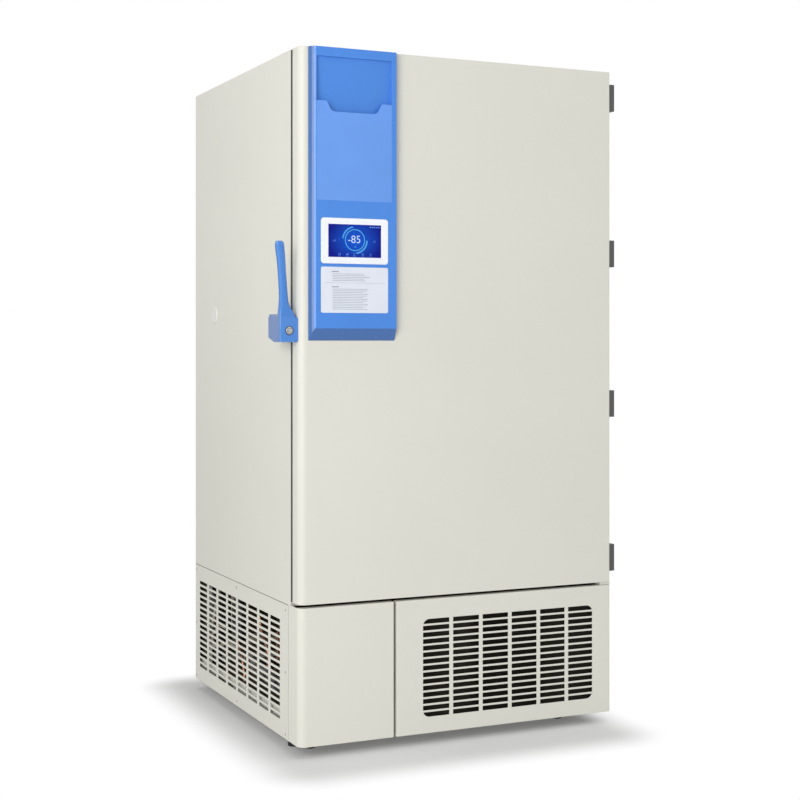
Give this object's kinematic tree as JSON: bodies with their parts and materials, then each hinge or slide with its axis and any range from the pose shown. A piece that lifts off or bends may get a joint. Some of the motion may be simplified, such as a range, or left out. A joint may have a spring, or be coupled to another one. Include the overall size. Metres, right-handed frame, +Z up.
{
  "type": "ultra low temperature freezer",
  "caption": "Tall upright laboratory freezer with one insulated outer door, a side lever latch, inner doors, shelves, grilled machine space and casters.",
  "frame": {"origin": "on the floor under the middle of the whole", "axes": "+X to the right seen from the front, +Y to the back, +Z up; the door faces -Y"},
  "size_m": [1.0928, 1.0207, 1.955],
  "materials": {
    "cabinet_paint": "fine satin powder coat, ivory",
    "blue_gloss": "glossy moulded blue",
    "pocket_clear": "tinted clear sheet",
    "white_gloss": "smooth white",
    "screen_glass": "glossy dark blue display",
    "card_white": "smooth printed film, bare",
    "foam": "rigid foam",
    "stainless": "brushed stainless sheet",
    "white_moulding": "satin white",
    "seal_rubber": "matte dark grey",
    "hinge_grey": "dark grey coat",
    "bare_steel": "machined",
    "chrome_lock": "polished",
    "black_coat": "gloss black enamel",
    "copper": "bright copper",
    "fin_metal": "mill finish",
    "grey_coat": "zinc-grey coat",
    "pipe_sleeve": "matte light foam rubber",
    "filter_mat": "dark open mat",
    "black_plastic": "satin black",
    "port_cap": "satin off-white"
  },
  "bodies": {
    "cabinet": {"cabinet_shell": "cabinet_paint", "cabinet_foam": "foam", "inner_liner": "stainless", "breaker_frame": "white_moulding", "access_port_plug": "port_cap", "shelf_supports": "stainless", "inner_door_brackets": "stainless", "hinge_cabinet_leaves": "hinge_grey", "hinge_pins": "bare_steel", "hinge_bracket": "cabinet_paint", "latch_keeper": "bare_steel", "front_panel": "cabinet_paint", "left_side_grille": "cabinet_paint", "right_side_grille": "cabinet_paint", "rear_cover": "cabinet_paint", "power_inlet": "black_plastic", "wall_spacers": "grey_coat", "base_frame": "cabinet_paint", "condenser": "fin_metal", "fan_shroud": "grey_coat", "copper_pipes": "copper", "suction_lines": "pipe_sleeve", "control_box": "grey_coat", "compressor_1": "black_coat", "compressor_2": "black_coat", "liquid_receiver": "black_coat", "shelf_1": "stainless", "shelf_2": "stainless", "shelf_3": "stainless"},
    "outer_door": {"door_skin": "cabinet_paint", "door_foam": "foam", "door_liner": "white_moulding", "door_gasket": "seal_rubber", "hinge_door_leaves": "hinge_grey", "door_panel": "blue_gloss", "pocket_window": "pocket_clear", "display_bezel": "white_gloss", "display_screen": "screen_glass", "info_card": "card_white", "latch_base": "blue_gloss"},
    "latch_lever": {"latch_lever": "blue_gloss", "latch_hook": "bare_steel"},
    "lock_barrel": {"lock_barrel": "chrome_lock"},
    "grille_door": {"grille_door": "cabinet_paint", "air_filter": "filter_mat"},
    "fan": {"fan_blades": "black_plastic"},
    "left_foot": {"left_levelling_foot": "black_plastic"},
    "right_foot": {"right_levelling_foot": "black_plastic"},
    "inner_door_1": {"inner_door_1": "white_moulding"},
    "inner_door_2": {"inner_door_2": "white_moulding"},
    "inner_door_3": {"inner_door_3": "white_moulding"},
    "inner_door_4": {"inner_door_4": "white_moulding"},
    "caster_front_left": {"caster_fork_front_left": "bare_steel"},
    "wheel_front_left": {"caster_wheel_front_left": "black_plastic"},
    "caster_front_right": {"caster_fork_front_right": "bare_steel"},
    "wheel_front_right": {"caster_wheel_front_right": "black_plastic"},
    "caster_rear_left": {"caster_fork_rear_left": "bare_steel"},
    "wheel_rear_left": {"caster_wheel_rear_left": "black_plastic"},
    "caster_rear_right": {"caster_fork_rear_right": "bare_steel"},
    "wheel_rear_right": {"caster_wheel_rear_right": "black_plastic"}
  },
  "joints": [
    {"name": "outer_door_swing", "type": "hinge", "parent": "cabinet", "child": "outer_door", "pos_m": [0.53842, -0.43262, 1.189], "axis": [0, 0, 1], "range_deg": [0, 110]},
    {"name": "latch_lever_pull", "type": "hinge", "parent": "outer_door", "child": "latch_lever", "pos_m": [-0.49658, -0.44862, 1.172], "axis": [1, 0, 0], "range_deg": [0, 70]},
    {"name": "lock_turn", "type": "hinge", "parent": "latch_lever", "child": "lock_barrel", "pos_m": [-0.49398, -0.48062, 1.1753], "axis": [0, 1, 0], "range_deg": [0, 90]},
    {"name": "grille_door_swing", "type": "hinge", "parent": "cabinet", "child": "grille_door", "pos_m": [0.52042, -0.41662, 0.22], "axis": [0, 0, 1], "range_deg": [0, 90]},
    {"name": "fan_spin", "type": "hinge", "parent": "cabinet", "child": "fan", "pos_m": [0.15542, -0.30262, 0.215], "axis": [0, 1, 0], "continuous": true},
    {"name": "left_foot_screw", "type": "slide", "parent": "cabinet", "child": "left_foot", "axis": [0, 0, 1], "range_m": [-0.015, 0]},
    {"name": "right_foot_screw", "type": "slide", "parent": "cabinet", "child": "right_foot", "axis": [0, 0, 1], "range_m": [-0.015, 0]},
    {"name": "inner_door_4_swing", "type": "hinge", "parent": "cabinet", "child": "inner_door_4", "pos_m": [0.40242, -0.35362, 1.66075], "axis": [0, 0, 1], "range_deg": [0, 90]},
    {"name": "inner_door_3_swing", "type": "hinge", "parent": "cabinet", "child": "inner_door_3", "pos_m": [0.40242, -0.35362, 1.34625], "axis": [0, 0, 1], "range_deg": [0, 90]},
    {"name": "inner_door_2_swing", "type": "hinge", "parent": "cabinet", "child": "inner_door_2", "pos_m": [0.40242, -0.35362, 1.03175], "axis": [0, 0, 1], "range_deg": [0, 90]},
    {"name": "inner_door_1_swing", "type": "hinge", "parent": "cabinet", "child": "inner_door_1", "pos_m": [0.40242, -0.35362, 0.71725], "axis": [0, 0, 1], "range_deg": [0, 90]},
    {"name": "caster_front_left_swivel", "type": "hinge", "parent": "cabinet", "child": "caster_front_left", "pos_m": [-0.37158, -0.38462, 0.076], "axis": [0, 0, 1], "continuous": true},
    {"name": "wheel_front_left_roll", "type": "hinge", "parent": "caster_front_left", "child": "wheel_front_left", "pos_m": [-0.39658, -0.38462, 0.03], "axis": [0, 1, 0], "continuous": true},
    {"name": "caster_front_right_swivel", "type": "hinge", "parent": "cabinet", "child": "caster_front_right", "pos_m": [0.43242, -0.38462, 0.076], "axis": [0, 0, 1], "continuous": true},
    {"name": "wheel_front_right_roll", "type": "hinge", "parent": "caster_front_right", "child": "wheel_front_right", "pos_m": [0.40742, -0.38462, 0.03], "axis": [0, 1, 0], "continuous": true},
    {"name": "caster_rear_left_swivel", "type": "hinge", "parent": "cabinet", "child": "caster_rear_left", "pos_m": [-0.37158, 0.37738, 0.076], "axis": [0, 0, 1], "continuous": true},
    {"name": "wheel_rear_left_roll", "type": "hinge", "parent": "caster_rear_left", "child": "wheel_rear_left", "pos_m": [-0.39658, 0.37738, 0.03], "axis": [0, 1, 0], "continuous": true},
    {"name": "caster_rear_right_swivel", "type": "hinge", "parent": "cabinet", "child": "caster_rear_right", "pos_m": [0.43242, 0.37738, 0.076], "axis": [0, 0, 1], "continuous": true},
    {"name": "wheel_rear_right_roll", "type": "hinge", "parent": "caster_rear_right", "child": "wheel_rear_right", "pos_m": [0.40742, 0.37738, 0.03], "axis": [0, 1, 0], "continuous": true}
  ],
  "couplings": [
    {"joint": "inner_door_4_swing", "follows": "outer_door_swing", "ratio": 0.8},
    {"joint": "inner_door_3_swing", "follows": "outer_door_swing", "ratio": 0.65},
    {"joint": "inner_door_2_swing", "follows": "outer_door_swing", "ratio": 0.5},
    {"joint": "inner_door_1_swing", "follows": "outer_door_swing", "ratio": 0.35}
  ]
}
